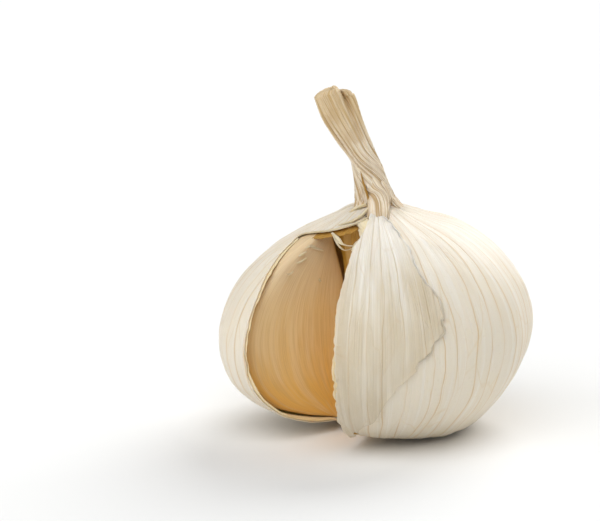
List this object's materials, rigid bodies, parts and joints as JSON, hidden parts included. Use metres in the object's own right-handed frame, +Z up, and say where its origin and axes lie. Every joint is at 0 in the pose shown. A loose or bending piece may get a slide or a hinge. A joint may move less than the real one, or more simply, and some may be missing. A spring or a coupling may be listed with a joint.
{
  "type": "garlic bulb",
  "caption": "Garlic bulb with one clove pulled out, its papery wrapper torn open beside the gap, standing on its root plate with a dry, leaning stem.",
  "frame": {"origin": "middle of the root plate's flat foot, on the surface the bulb stands on", "axes": "+Z up from the root plate towards the stem's cut end; -Y is the front, with the missing clove's opening between -Y and -X"},
  "size_m": [0.062, 0.0628, 0.0676],
  "materials": {
    "root_plate": "rough dry corky disc",
    "clove_skin": "satin tan skin close round each clove",
    "stem": "dry fibrous stalk",
    "wrapper_skin": "dry creamy papery skin with a soft sheen",
    "outer_skin": "thin white papery skin, torn"
  },
  "bodies": {
    "root": {"root_plate": "root_plate", "clove_1": "clove_skin", "clove_2": "clove_skin", "clove_3": "clove_skin", "clove_4": "clove_skin", "clove_5": "clove_skin", "clove_6": "clove_skin", "clove_7": "clove_skin", "stem": "stem", "wrapper_skin": "wrapper_skin", "outer_skin_remnant": "outer_skin"}
  },
  "joints": []
}
